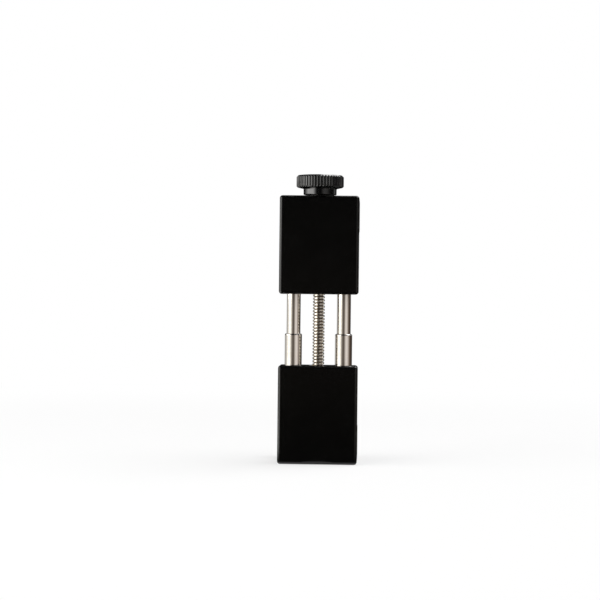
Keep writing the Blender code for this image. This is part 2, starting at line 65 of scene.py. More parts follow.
# Radii of the jaws' bores, each a little wider than the piece that it holds
TUBE_BORE = 3.05 * MM
ROD_BORE = 2.5 * MM
SCREW_BORE = 2.15 * MM
SCREW_WELL = 2.3 * MM
NUT_BORE = 3.65 * MM
COLLAR_BORE = 3.1 * MM
WASHER_RECESS = 4.25 * MM
BUSHING_BORE = 4.45 * MM
GRUB_BORE = 1.4 * MM

# Heights over the lower jaw's base
SCREW_WELL_FLOOR = 1.5 * MM
TUBE_BORE_FLOOR = 2.7 * MM
NUT_BORE_FLOOR = 26.1 * MM
BUSHING_BORE_ROOF = 4.7 * MM

# Depths under the upper jaw's top
WASHER_RECESS_DEPTH = 0.5 * MM
ROD_BORE_ROOF = 6.7 * MM
COLLAR_BORE_ROOF = 8 * MM
TUBE_BORE_ROOF = 22.4 * MM

# Pockets for the back pads
POCKET_ROOM = 0.3 * MM
POCKET_DEPTH = 1.0 * MM
POCKET_CORNER = 1.9 * MM

# Shoe slot: a throat between two rails, and the wider room for the foot under them
SHOE_LENGTH = 17.0 * MM
SHOE_CORNER = 1.5 * MM
THROAT_WIDTH = 12.6 * MM
THROAT_HEIGHT = 3.25 * MM
THROAT_MIDDLE = 0.625 * MM
FOOT_WIDTH = 18.8 * MM
FOOT_HEIGHT = 2.1 * MM
FOOT_MIDDLE = 2.25 * MM

# Cutters reach this far past the face that they open
PAST = 1 * MM

# Guide tubes
TUBE_WALL = 0.4 * MM
TUBE_RISE = 0.4 * MM
TUBE_LIP_WIDTH = 0.2 * MM
TUBE_LIP_HEIGHT = 0.34 * MM

# Lead screw, right-handed
THREAD_PITCH = 1.06 * MM
THREAD_DEPTH = 0.5 * MM
THREAD_START = 0.5 * MM
THREAD_IN_JAW = 3 * MM
SHANK_CHAMFER = 0.4 * MM

# How far a plain core or shell lies behind the root of the thread on it
THREAD_OVERLAP = 0.02 * MM

# Thread of the tripod bushing, 1/4 inch 20, and its chamfered mouth
TRIPOD_PITCH = 1.27 * MM
TRIPOD_RADIUS = 3.19 * MM
TRIPOD_THREAD_DEPTH = 0.58 * MM
TRIPOD_MOUTH_WIDTH = 0.35 * MM
TRIPOD_MOUTH_HEIGHT = 0.4 * MM

# Knob
KNOB_RADIUS = 8.0 * MM
KNOB_HEAD = 4.1 * MM
KNOB_LOWER_CHAMFER = 0.4 * MM
KNOB_UPPER_CHAMFER = 0.58 * MM
KNOB_CONE = 0.45 * MM
KNOB_NECK_RADIUS = 5.6 * MM
KNOB_BORE_DEPTH = 3.5 * MM
KNOB_DISH_RADIUS = 5.4 * MM
KNOB_DISH_FLOOR_RADIUS = 5.05 * MM
KNOB_DISH_DEPTH = 0.35 * MM
RIM_STEPS = 6
KNURL_TEETH = 48
KNURL_DEPTH = 0.34 * MM
KNURL_FINENESS = 12

# Shares of half a tooth's width, from its middle out
KNURL_CREST = 0.3
KNURL_FLANK = 0.6

# Grub screw of the knob, and where its bore starts from the axis
GRUB_POINT = 0.5 * MM
GRUB_SOCKET_RADIUS = 0.72 * MM
GRUB_SOCKET_DEPTH = 0.9 * MM
GRUB_BORE_START = 2.5 * MM

RUBBER_ROUND = 0.12 * MM

# By how much the largest part of a unit normal is less than 1 in the middle of a fillet
MID_FILLET = 0.293

# CAD pieces that stay as they are, all inside the jaws
HIDDEN_PIECES = (
    "retaining_collar",
    "left_rod_set_screw",
    "right_rod_set_screw",
    "left_tube_set_screw",
    "right_tube_set_screw",
)

# Floor, which turns up into a backdrop
FLOOR_SUNK = 0.05 * MM
FLOOR_FRONT = -4.0
FLOOR_BACK = 2.2
FLOOR_SIDE = 5.0
BACKDROP_BEND = 0.8
BACKDROP_TOP = 4.0
BEND_STEPS = 12

# Shade on the floor: where its darkest part ends, where plain white starts, and how white the
# darkest part still is
SHADE_NEAR = 0.03
SHADE_FAR = 0.5
SHADE_WHITENESS = 0.62

# Reflected screens all round the object: distances from the screw's axis, and heights
SCREEN_DISTANCE = 0.5
GROUND_HEIGHT = 0.8 * MM
GROUND_NEAR = 7.5 * MM
GROUND_MIDDLE = 45 * MM
LOW_SCREEN_BASE = 0.003
LOW_SCREEN_TOP = 0.057
HIGH_SCREEN_TOP = 0.42
HOOD_TOP = 1.1
HOOD_HOLE = 0.02
BRIGHTEST_SCREEN = 4.0
UNLIT = (0.02, 0.02, 0.02)

# Camera, with its turn in degrees and its lens in mm
CAMERA_PLACE = (0.0165, -0.6191, 0.05786)
CAMERA_YAW = -2.15
CAMERA_PITCH = -0.25
CAMERA_ROLL = 0.63
FOCAL_LENGTH = 108.2
SENSOR_WIDTH = 36

# Middle of the object, which the lamps face
AIM = (0, AXIS_Y, 0.05)


# Shapes


def rounded(points, radius, steps=4, hold=0.04 * MM):
    """Rounds every corner of an open (radius, height) profile but its two ends.

    A point a little way along each straight holds the shading of the straight flat. A profile that
    turned() closes starts and ends part of the way along a straight.
    """
    path = [Vector(points[0])]
    for before, corner, after in zip(points, points[1:], points[2:]):
        before, corner, after = Vector(before), Vector(corner), Vector(after)
        into = (before - corner).normalized()
        out = (after - corner).normalized()
        room = min((before - corner).length, (after - corner).length) / 2
        reach = min(radius, 0.7 * room)
        start = corner + into * reach
        end = corner + out * reach
        path.append(start + into * min(hold, 0.2 * room))
        for step in range(steps + 1):
            t = step / steps
            path.append(start * (1 - t) ** 2 + corner * 2 * t * (1 - t) + end * t**2)
        path.append(end + out * min(hold, 0.2 * room))
    path.append(Vector(points[-1]))
    return [(point.x, point.y) for point in path]


def turned(profile, x=0.0, y=AXIS_Y, segments=96, closed=False):
    """A lathe shape about an upright axis, from (radius, height) points."""
    bm = bmesh.new()
    verts = [bm.verts.new((radius, 0, height)) for radius, height in profile]
    pairs = list(zip(verts, verts[1:]))
    if closed:
        pairs.append((verts[-1], verts[0]))
    edges = [bm.edges.new(pair) for pair in pairs]
    bmesh.ops.spin(
        bm,
        geom=verts + edges,
        cent=(0, 0, 0),
        axis=(0, 0, 1),
        angle=math.tau,
        steps=segments,
        use_merge=True,
    )
    bmesh.ops.remove_doubles(bm, verts=bm.verts, dist=0.001 * MM)
    bmesh.ops.translate(bm, vec=(x, y, 0), verts=bm.verts)
    bmesh.ops.recalc_face_normals(bm, faces=bm.faces)
    return bm


def wound(section, pitch, bottom, top, steps=48):
    """Winds a thread's section up the axis and cuts both ends off square.

    The section is given as (radius, share of the pitch) points. The winding starts a turn and a
    half too low and ends at least as much too high, so each cut goes through whole turns.
    """
    turns = math.ceil((top - bottom) / pitch) + 3
    bm = bmesh.new()
    start = bottom - 1.5 * pitch
    verts = [bm.verts.new((radius, 0, start + share * pitch)) for radius, share in section]
    edges = [bm.edges.new(pair) for pair in zip(verts, verts[1:])]
    bmesh.ops.spin(
        bm,
        geom=verts + edges,
        cent=(0, 0, 0),
        axis=(0, 0, 1),
        dvec=(0, 0, pitch / steps),
        angle=math.tau * turns,
        steps=steps * turns,
    )
    bmesh.ops.remove_doubles(bm, verts=bm.verts, dist=0.0005 * MM)
    for height, side in ((bottom, -1), (top, 1)):
        bmesh.ops.bisect_plane(
            bm,
            geom=bm.verts[:] + bm.edges[:] + bm.faces[:],
            dist=0.00001 * MM,
            plane_co=(0, 0, height),
            plane_no=(0, 0, side),
            clear_outer=True,
        )
    return bm


def plate(width, height, depth, corner, centre, axis="y"):
    """A block with four rounded corners, as a flat cutter. Its depth lies along y or z."""
    bm = bmesh.new()
    size = (width, depth, height) if axis == "y" else (width, height, depth)
    made = bmesh.ops.create_cube(bm, size=1)["verts"]
    bmesh.ops.scale(bm, vec=size, verts=made)
    bmesh.ops.translate(bm, vec=centre, verts=made)
    along = 1 if axis == "y" else 2
    corners = [
        edge
        for edge in bm.edges
        if abs((edge.verts[0].co - edge.verts[1].co).normalized()[along]) > 0.9
    ]
    bmesh.ops.bevel(
        bm, geom=corners, offset=corner, segments=8, profile=0.5, affect="EDGES", material=-1
    )
    bmesh.ops.recalc_face_normals(bm, faces=bm.faces)
    return bm


def stepped_bore(wall, x=0.0, y=AXIS_Y):
    """Cutter for an upright bore whose wall goes up through (radius, height) points."""
    profile = [(0, wall[0][1]), *wall, (0, wall[-1][1])]
    return turned(profile, x=x, y=y, segments=64)


def mouth(radius, face, ease, side):
    """Chamfered end of a bore's wall. Side is 1 at a top face and -1 at a bottom face."""
    points = [(radius, face - side * ease), (radius + ease + PAST, face + side * PAST)]
    return points if side > 0 else points[::-1]


def cross_bore(radius, x, y_from, y_to, z, corners=40):
    """Cutter for a hole along y, round unless it has few corners."""
    bm = bmesh.new()
    bmesh.ops.create_cone(
        bm, cap_ends=True, segments=corners, radius1=radius, radius2=radius, depth=y_to - y_from
    )
    bmesh.ops.rotate(bm, matrix=Matrix.Rotation(math.radians(90), 3, "X"), verts=bm.verts)
    bmesh.ops.translate(bm, vec=(x, (y_from + y_to) / 2, z), verts=bm.verts)
    return bm


def scratch_object(bm, name):
    mesh = bpy.data.meshes.new(name)
    bm.to_mesh(mesh)
    bm.free()
    made = bpy.data.objects.new(name, mesh)
    bpy.context.scene.collection.objects.link(made)
    return made


def carved(bm, cutters):
    """Cuts the cutters out of a shape."""
    blank = scratch_object(bm, "blank")
    tools = [scratch_object(cutter, "tool") for cutter in cutters]
    for tool in tools:
        step = blank.modifiers.new("cut", "BOOLEAN")
        step.operation = "DIFFERENCE"
        step.solver = "EXACT"
        step.object = tool
    graph = bpy.context.evaluated_depsgraph_get()
    result = bpy.data.meshes.new_from_object(blank.evaluated_get(graph))
    whole = bmesh.new()
    whole.from_mesh(result)
    for obj in (blank, *tools):
        mesh = obj.data
        bpy.data.objects.remove(obj)
        bpy.data.meshes.remove(mesh)
    bpy.data.meshes.remove(result)
    return whole


def joined(*parts):
    """Puts several shapes into one."""
    whole = parts[0]
    for part in parts[1:]:
        scratch = bpy.data.meshes.new("scratch")
        part.to_mesh(scratch)
        part.free()
        whole.from_mesh(scratch)
        bpy.data.meshes.remove(scratch)
    return whole


def mark_edges(mesh):
    """Writes how far each face is turned off square: 0 on flats, 1 in the middle of a fillet."""
    marks = mesh.attributes.new("edge", "FLOAT", "FACE")
    shares = [(1 - max(abs(part) for part in face.normal)) / MID_FILLET for face in mesh.polygons]
    marks.data.foreach_set("value", [min(1.0, max(0.0, share)) for share in shares])


def add_piece(name, bm, material, body, node, sharp=32, square=False, soften=None):
    """Makes an object of a shape, rides it on its body and lets it stand for its CAD node.

    A square piece has large flats, so its normals are weighted and its edges marked for wear and
    painted edge highlights. A width to soften by gives every sharp edge a small round.
    """
    mesh = bpy.data.meshes.new(name)
    bm.to_mesh(mesh)
    bm.free()
    mesh.shade_smooth()
    mesh.set_sharp_from_angle(angle=math.radians(sharp))
    mesh.materials.clear()
    mesh.materials.append(material)
    piece = bpy.data.objects.new(name, mesh)
    bpy.context.scene.collection.objects.link(piece)
    if square:
        mark_edges(mesh)
    if soften:
        round_off = piece.modifiers.new("soft_edges", "BEVEL")
        round_off.width = soften
        round_off.segments = 3
        round_off.limit_method = "ANGLE"
        round_off.angle_limit = math.radians(sharp)
    if square or soften:
        weigh = piece.modifiers.new("flat_faces", "WEIGHTED_NORMAL")
        weigh.mode = "FACE_AREA"
        weigh.weight = 50
        weigh.keep_sharp = not soften
    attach(piece, body)
    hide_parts(node)


# Finishes


def group_tree(name, inputs, outputs):
    tree = bpy.data.node_groups.new(name, "ShaderNodeTree")
    for label, kind, value in inputs:
        made = tree.interface.new_socket(name=label, in_out="INPUT", socket_type=kind)
        made.default_value = value
    for label, kind in outputs:
        tree.interface.new_socket(name=label, in_out="OUTPUT", socket_type=kind)
    return tree, tree.nodes.new("NodeGroupInput"), tree.nodes.new("NodeGroupOutput")


def calculate(tree, operation, first, second=0.0, clamp=False):
    """A Math node. Each operand is a number or a socket."""
    made = tree.nodes.new("ShaderNodeMath")
    made.operation = operation
    made.use_clamp = clamp
    for place, operand in enumerate((first, second)):
        if isinstance(operand, (int, float)):
            made.inputs[place].default_value = operand
        else:
            tree.links.new(operand, made.inputs[place])
    return made.outputs[0]


def remap(tree, value, low, high, to_low=0.0, to_high=1.0):
    """A Map Range node."""
    made = tree.nodes.new("ShaderNodeMapRange")
    tree.links.new(value, made.inputs["Value"])
    made.inputs["From Min"].default_value = low
    made.inputs["From Max"].default_value = high
    made.inputs["To Min"].default_value = to_low
    made.inputs["To Max"].default_value = to_high
    return made.outputs["Result"]


def noise(tree, vector, scale, detail=3.0, roughness=0.55):
    made = tree.nodes.new("ShaderNodeTexNoise")
    tree.links.new(vector, made.inputs["Vector"])
    if isinstance(scale, (int, float)):
        made.inputs["Scale"].default_value = scale
    else:
        tree.links.new(scale, made.inputs["Scale"])
    made.inputs["Detail"].default_value = detail
    made.inputs["Roughness"].default_value = roughness
    return made.outputs["Fac"]


def object_point(tree):
    return tree.nodes.new("ShaderNodeTexCoord").outputs["Object"]


def axis_distance(tree, centre):
    """Distance from an upright axis, and the point's offset from it."""
    offset = tree.nodes.new("ShaderNodeVectorMath")
    offset.operation = "SUBTRACT"
    tree.links.new(object_point(tree), offset.inputs[0])
    if isinstance(centre, tuple):
        offset.inputs[1].default_value = centre
    else:
        tree.links.new(centre, offset.inputs[1])
    split = tree.nodes.new("ShaderNodeSeparateXYZ")
    tree.links.new(offset.outputs[0], split.inputs[0])
    x_squared = calculate(tree, "MULTIPLY", split.outputs["X"], split.outputs["X"])
    y_squared = calculate(tree, "MULTIPLY", split.outputs["Y"], split.outputs["Y"])
    return calculate(tree, "SQRT", calculate(tree, "ADD", x_squared, y_squared)), split


def build_blast_grain():
    """Fine even pits, as blasting leaves, with a slow drift of gloss over them."""
    tree, given, result = group_tree(
        "blast_grain",
        [("Scale", "NodeSocketFloat", 9000.0)],
        [("Height", "NodeSocketFloat"), ("Drift", "NodeSocketFloat")],
    )
    point = object_point(tree)
    pits = noise(tree, point, given.outputs["Scale"], detail=2.0)
    drift = noise(tree, point, 140.0, detail=4.0)
    tree.links.new(pits, result.inputs["Height"])
    tree.links.new(remap(tree, drift, 0.3, 0.7), result.inputs["Drift"])
    return tree


def build_handling_marks():
    """Sparse fine scratches inside rubbed patches."""
    tree, given, result = group_tree(
        "handling_marks",
        [("Amount", "NodeSocketFloat", 0.5)],
        [("Mask", "NodeSocketFloat")],
    )
    point = object_point(tree)
    stretch = tree.nodes.new("ShaderNodeMapping")
    stretch.inputs["Rotation"].default_value = (0.3, 0.5, 0.9)
    stretch.inputs["Scale"].default_value = (260, 5200, 900)
    tree.links.new(point, stretch.inputs["Vector"])
    lines = remap(tree, noise(tree, stretch.outputs["Vector"], 1.0, detail=2.0), 0.66, 0.74)
    patches = remap(tree, noise(tree, point, 190.0), 0.45, 0.7)
    both = calculate(tree, "MULTIPLY", lines, patches)
    mask = calculate(tree, "MULTIPLY", both, given.outputs["Amount"], clamp=True)
    tree.links.new(mask, result.inputs["Mask"])
    return tree


def build_edge_wear_and_sheen():
    """Wear and painted highlights along the rounded edges, from the piece's edge marks, broken up
    by noise.
    """
    tree, given, result = group_tree(
        "edge_wear_and_sheen",
        [("Amount", "NodeSocketFloat", 0.5)],
        [("Mask", "NodeSocketFloat")],
    )
    marks = tree.nodes.new("ShaderNodeAttribute")
    marks.attribute_type = "GEOMETRY"
    marks.attribute_name = "edge"
    point = object_point(tree)
    coarse = remap(tree, noise(tree, point, 420.0, detail=5.0, roughness=0.7), 0.42, 0.68)
    fine = remap(tree, noise(tree, point, 3600.0, detail=2.0), 0.35, 0.65, 0.5, 1.0)
    broken = calculate(tree, "MULTIPLY", coarse, fine)
    on_edge = calculate(tree, "MULTIPLY", remap(tree, marks.outputs["Fac"], 0.25, 0.95), broken)
    mask = calculate(tree, "MULTIPLY", on_edge, given.outputs["Amount"], clamp=True)
    tree.links.new(mask, result.inputs["Mask"])
    return tree


def build_turning_lines():
    """Fine rings that a lathe leaves, up a shaft and across its end."""
    tree, given, result = group_tree(
        "turning_lines",
        [("Pitch", "NodeSocketFloat", 0.00012), ("Centre", "NodeSocketVector", (0, AXIS_Y, 0))],
        [("Height", "NodeSocketFloat"), ("Streak", "NodeSocketFloat")],
    )
    across, split = axis_distance(tree, given.outputs["Centre"])
    place = tree.nodes.new("ShaderNodeCombineXYZ")
    tree.links.new(across, place.inputs["X"])
    tree.links.new(split.outputs["Z"], place.inputs["Y"])
    scale = calculate(tree, "DIVIDE", 1.0, given.outputs["Pitch"])
    fine = noise(tree, place.outputs[0], scale, detail=2.0)
    broad = noise(tree, place.outputs[0], 900.0, detail=3.0)
    tree.links.new(fine, result.inputs["Height"])
    tree.links.new(remap(tree, broad, 0.3, 0.7), result.inputs["Streak"])
    return tree


def build_root_shade_and_oil():
    """Dark oil, dirt and painted shade in the root of a thread, from the distance to the thread's
    axis.
    """
    tree, given, result = group_tree(
        "root_shade_and_oil",
        [
            ("Centre", "NodeSocketVector", (0, AXIS_Y, 0)),
            ("Root", "NodeSocketFloat", 0.0015),
            ("Crest", "NodeSocketFloat", 0.002),
        ],
        [("Mask", "NodeSocketFloat")],
    )
    across, _ = axis_distance(tree, given.outputs["Centre"])
    ruffle = calculate(tree, "MULTIPLY", noise(tree, object_point(tree), 2600.0), 0.1 * MM)
    reach = tree.nodes.new("ShaderNodeMapRange")
    tree.links.new(calculate(tree, "ADD", across, ruffle), reach.inputs["Value"])
    tree.links.new(given.outputs["Crest"], reach.inputs["From Min"])
    tree.links.new(given.outputs["Root"], reach.inputs["From Max"])
    tree.links.new(reach.outputs["Result"], result.inputs["Mask"])
    return tree


BLAST_GRAIN = build_blast_grain()
HANDLING_MARKS = build_handling_marks()
EDGE_WEAR_AND_SHEEN = build_edge_wear_and_sheen()
TURNING_LINES = build_turning_lines()
ROOT_SHADE_AND_OIL = build_root_shade_and_oil()


def new_finish(name, colour, metallic, roughness, **constants):
    """A material with its constant values set on the shader's own sockets."""
    made = bpy.data.materials.new(name)
    made.use_nodes = True
    tree = made.node_tree
    shader = tree.nodes["Principled BSDF"]
    shader.inputs["Base Color"].default_value = (*colour, 1)
    shader.inputs["Metallic"].default_value = metallic
    shader.inputs["Roughness"].default_value = roughness
    for label, value in constants.items():
        shader.inputs[label.replace("_", " ")].default_value = value
    return made, tree, shader


def use_group(tree, group, **values):
    made = tree.nodes.new("ShaderNodeGroup")
    made.node_tree = group
    for label, value in values.items():
        made.inputs[label].default_value = value
    return made.outputs


def set_roughness(tree, shader, pattern, low, high, *changes):
    """Roughness that goes from low to high with a pattern. A change is a mask and what it adds."""
    rough = remap(tree, pattern, 0.0, 1.0, low, high)
    for mask, amount in changes:
        rough = calculate(tree, "ADD", rough, calculate(tree, "MULTIPLY", mask, amount))
    tree.links.new(rough, shader.inputs["Roughness"])


def add_bump(tree, shader, height, distance):
    bump = tree.nodes.new("ShaderNodeBump")
    bump.inputs["Distance"].default_value = distance
    bump.inputs["Strength"].default_value = 1.0
    tree.links.new(height, bump.inputs["Height"])
    tree.links.new(bump.outputs["Normal"], shader.inputs["Normal"])


def blend_colours(tree, mask, plain, marked):
    """Colour that goes from plain to marked with the mask. Plain is a colour or a socket."""
    mix = tree.nodes.new("ShaderNodeMix")
    mix.data_type = "RGBA"
    if isinstance(plain, tuple):
        mix.inputs["A"].default_value = (*plain, 1)
    else:
        tree.links.new(plain, mix.inputs["A"])
    mix.inputs["B"].default_value = (*marked, 1)
    tree.links.new(mask, mix.inputs["Factor"])
    return mix.outputs["Result"]


def anodised_black():
    """Fine blasted black anodised aluminium: worn edges with painted highlights, a few handling
    marks.
    """
    made, tree, shader = new_finish(
        "anodised_black", (0.001, 0.001, 0.001), 0.0, 0.22, Specular_IOR_Level=0.47
    )
    grain = use_group(tree, BLAST_GRAIN, Scale=9000.0)
    marks = use_group(tree, HANDLING_MARKS, Amount=0.5)
    wear_and_sheen = use_group(tree, EDGE_WEAR_AND_SHEEN, Amount=0.5)
    changes = [(marks["Mask"], -0.06), (wear_and_sheen["Mask"], 0.1)]
    set_roughness(tree, shader, grain["Drift"], 0.2, 0.25, *changes)
    colour = blend_colours(tree, marks["Mask"], (0.0006, 0.0006, 0.0005), (0.006, 0.006, 0.0058))
    # Painted highlight: the rounded edges are coloured lighter, partly as wear.
    colour = blend_colours(tree, wear_and_sheen["Mask"], colour, (0.045, 0.043, 0.04))
    tree.links.new(colour, shader.inputs["Base Color"])
    add_bump(tree, shader, grain["Height"], 0.0025 * MM)
    return made


def gloss_black():
    """Glossy black plating of the knob, turned beneath it."""
    made, tree, shader = new_finish("gloss_black", (0.002, 0.002, 0.002), 0.0, 0.09, IOR=1.75)
    lines = use_group(tree, TURNING_LINES, Pitch=0.00009)
    marks = use_group(tree, HANDLING_MARKS, Amount=0.8)
    set_roughness(tree, shader, lines["Streak"], 0.06, 0.12)
    colour = blend_colours(tree, marks["Mask"], (0.002, 0.002, 0.002), (0.03, 0.028, 0.026))
    tree.links.new(colour, shader.inputs["Base Color"])
    add_bump(tree, shader, lines["Height"], 0.002 * MM)
    return made


def bright_nickel(side):
    """Polished nickel on a guide, with the faint rings of its grinding about its own axis."""
    made, tree, shader = new_finish(f"bright_nickel_{side}", (0.86, 0.82, 0.77), 1.0, 0.09)
    centre = (AXIS_X[side], AXIS_Y, 0)
    lines = use_group(tree, TURNING_LINES, Pitch=0.00006, Centre=centre)
    marks = use_group(tree, HANDLING_MARKS, Amount=0.7)
    set_roughness(tree, shader, lines["Streak"], 0.07, 0.11, (marks["Mask"], 0.12))
    colour = blend_colours(tree, lines["Streak"], (0.85, 0.81, 0.76), (0.88, 0.85, 0.81))
    colour = blend_colours(tree, marks["Mask"], colour, (0.7, 0.66, 0.6))
    tree.links.new(colour, shader.inputs["Base Color"])
    add_bump(tree, shader, lines["Height"], 0.0004 * MM)
    return made


def screw_steel():
    """Rolled steel thread, bright on the crests, dark with oil, dirt and painted shade in the
    roots.
    """
    made, tree, shader = new_finish("screw_steel", (0.78, 0.73, 0.66), 1.0, 0.24)
    oil_and_shade = use_group(tree, ROOT_SHADE_AND_OIL, Root=1.55 * MM, Crest=1.93 * MM)
    grain = use_group(tree, BLAST_GRAIN, Scale=5000.0)
    set_roughness(tree, shader, grain["Drift"], 0.2, 0.3, (oil_and_shade["Mask"], 0.2))
    colour = blend_colours(tree, grain["Drift"], (0.74, 0.69, 0.61), (0.84, 0.8, 0.73))
    # Painted shade: the thread's roots are coloured dark by their distance from the axis, with
    # some oil.
    colour = blend_colours(tree, oil_and_shade["Mask"], colour, (0.25, 0.205, 0.16))
    tree.links.new(colour, shader.inputs["Base Color"])
    add_bump(tree, shader, grain["Height"], 0.001 * MM)
    return made


def turned_metal(name, plain, marked, low, high, centre=(0, AXIS_Y, 0)):
    """Brass, bushing steel and the like, straight off the lathe."""
    made, tree, shader = new_finish(name, plain, 1.0, low)
    lines = use_group(tree, TURNING_LINES, Pitch=0.00015, Centre=centre)
    set_roughness(tree, shader, lines["Streak"], low, high)
    colour = blend_colours(tree, lines["Streak"], plain, marked)
    tree.links.new(colour, shader.inputs["Base Color"])
    add_bump(tree, shader, lines["Height"], 0.002 * MM)
    return made


def black_oxide():
    made, tree, shader = new_finish("black_oxide", (0.05, 0.05, 0.055), 1.0, 0.4)
    grain = use_group(tree, BLAST_GRAIN, Scale=7000.0)
    set_roughness(tree, shader, grain["Drift"], 0.32, 0.48)
    colour = blend_colours(tree, grain["Drift"], (0.045, 0.045, 0.05), (0.08, 0.078, 0.076))
    tree.links.new(colour, shader.inputs["Base Color"])
    add_bump(tree, shader, grain["Height"], 0.006 * MM)
    return made


def moulded(name, plain, marked, low, high, depth):
    """Rubber or nylon with the fine grain of its mould and a little dust in it."""
    made, tree, shader = new_finish(name, plain, 0.0, low)
    grain = use_group(tree, BLAST_GRAIN, Scale=4200.0)
    set_roughness(tree, shader, grain["Drift"], low, high)
    dust = calculate(tree, "MULTIPLY", remap(tree, grain["Height"], 0.5, 0.75), grain["Drift"])
    tree.links.new(blend_colours(tree, dust, plain, marked), shader.inputs["Base Color"])
    add_bump(tree, shader, grain["Height"], depth)
    return made


ANODISED_BLACK = anodised_black()
GLOSS_BLACK = gloss_black()
NICKEL = {side: bright_nickel(side) for side in SIDES}
SCREW_STEEL = screw_steel()
BRASS = turned_metal("brass", (0.72, 0.53, 0.25), (0.8, 0.62, 0.34), 0.2, 0.34)
BUSHING_STEEL = turned_metal(
    "bushing_steel", (0.6, 0.58, 0.55), (0.7, 0.68, 0.65), 0.2, 0.35, centre=(0, 0, 0)
)
BLACK_OXIDE = black_oxide()
RUBBER = moulded("rubber", (0.016, 0.016, 0.016), (0.04, 0.038, 0.036), 0.6, 0.75, 0.02 * MM)
NYLON = moulded("nylon", (0.02, 0.02, 0.02), (0.03, 0.03, 0.03), 0.4, 0.5, 0.008 * MM)


# Milled jaws


def channel_block(height_at):
    """Length of the jaws' channel section, with every edge rounded."""
    low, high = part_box("lower_jaw_body")
    section = [
        (low.y, 0),
        (high.y, 0),
        (high.y, LIP_HEIGHT),
        (LIP_Y, LIP_HEIGHT),
        (LIP_Y, FLOOR_THICKNESS),
        (PLATE_Y, FLOOR_THICKNESS),
        (PLATE_Y, JAW_HEIGHT),
        (low.y, JAW_HEIGHT),
    ]
    bm = bmesh.new()
    face = bm.faces.new([bm.verts.new((low.x, y, height_at(depth))) for y, depth in section])
    grown = bmesh.ops.extrude_face_region(bm, geom=[face])["geom"]
    far = [item for item in grown if isinstance(item, bmesh.types.BMVert)]
    bmesh.ops.translate(bm, vec=(high.x - low.x, 0, 0), verts=far)
    bmesh.ops.recalc_face_normals(bm, faces=bm.faces)
    edges = bm.edges[:]
    bmesh.ops.bevel(
        bm, geom=edges, offset=EDGE_ROUND, segments=6, profile=0.5, affect="EDGES", material=-1
    )
    bmesh.ops.recalc_face_normals(bm, faces=bm.faces)
    return bm


def pad_pocket(pad):
    """Cutter for the shallow pocket that a back pad is let into."""
    low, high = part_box(pad)
    return plate(
        high.x - low.x + 2 * POCKET_ROOM,
        high.z - low.z + 2 * POCKET_ROOM,
        POCKET_DEPTH,
        POCKET_CORNER,
        ((low.x + high.x) / 2, PLATE_Y, (low.z + high.z) / 2),
    )


def lock_bores(kind):
    """Cutters for the two bores of the grub screws behind the pad."""
    cutters = []
    for side in SIDES:
        low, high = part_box(f"{side}_{kind}_set_screw")
        height = (low.z + high.z) / 2
        cutters.append(cross_bore(GRUB_BORE, AXIS_X[side], AXIS_Y, PLATE_Y, height))
    return cutters


def add_jaw(place, blank, cutters):
    add_piece(
        f"{place}_jaw_block",
        carved(blank, cutters),
        ANODISED_BLACK,
        f"{place}_jaw",
        f"{place}_jaw_body",
        square=True,
    )


def lower_jaw():
    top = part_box("lower_jaw_body")[1].z
    for_bushing = [*mouth(BUSHING_BORE, 0.0, 0.2 * MM, -1), (BUSHING_BORE, BUSHING_BORE_ROOF)]
    for_screw_and_nut = [
        (SCREW_WELL, SCREW_WELL_FLOOR),
        (SCREW_WELL, NUT_BORE_FLOOR),
        (NUT_BORE, NUT_BORE_FLOOR),
        *mouth(NUT_BORE, top, 0.35 * MM, 1),
    ]
    for_tube = [(TUBE_BORE, TUBE_BORE_FLOOR), *mouth(TUBE_BORE, top, 0.2 * MM, 1)]
    cutters = [
        pad_pocket("lower_back_pad"),
        *lock_bores("tube"),
        stepped_bore(for_bushing, y=0.0),
        stepped_bore(for_screw_and_nut),
        *(stepped_bore(for_tube, x=AXIS_X[side]) for side in SIDES),
    ]
    add_jaw("lower", channel_block(lambda depth: depth), cutters)


def shoe_slot(top):
    """Cutters for the throat between the shoe's rails and for the wider slot under them."""
    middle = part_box("upper_jaw_body")[1].y + PAST - SHOE_LENGTH / 2
    return [
        plate(width, SHOE_LENGTH, height, SHOE_CORNER, (0, middle, top - sunk), axis="z")
        for width, height, sunk in (
            (THROAT_WIDTH, THROAT_HEIGHT, THROAT_MIDDLE),
            (FOOT_WIDTH, FOOT_HEIGHT, FOOT_MIDDLE),
        )
    ]


def upper_jaw():
    low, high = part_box("upper_jaw_body")
    for_screw_collar_and_washer = [
        *mouth(COLLAR_BORE, low.z, 0.3 * MM, -1),
        (COLLAR_BORE, high.z - COLLAR_BORE_ROOF),
        (SCREW_BORE, high.z - COLLAR_BORE_ROOF),
        (SCREW_BORE, high.z - WASHER_RECESS_DEPTH),
        (WASHER_RECESS, high.z - WASHER_RECESS_DEPTH),
        (WASHER_RECESS, high.z + PAST),
    ]
    for_tube_and_rod = [
        *mouth(TUBE_BORE, low.z, 0.2 * MM, -1),
        (TUBE_BORE, high.z - TUBE_BORE_ROOF),
        (ROD_BORE, high.z - TUBE_BORE_ROOF),
        (ROD_BORE, high.z - ROD_BORE_ROOF),
    ]
    cutters = [
        pad_pocket("upper_back_pad"),
        *lock_bores("rod"),
        *shoe_slot(high.z),
        stepped_bore(for_screw_collar_and_washer),
        *(stepped_bore(for_tube_and_rod, x=AXIS_X[side]) for side in SIDES),
    ]
    add_jaw("upper", channel_block(lambda depth: high.z - depth), cutters)


# Turned pieces


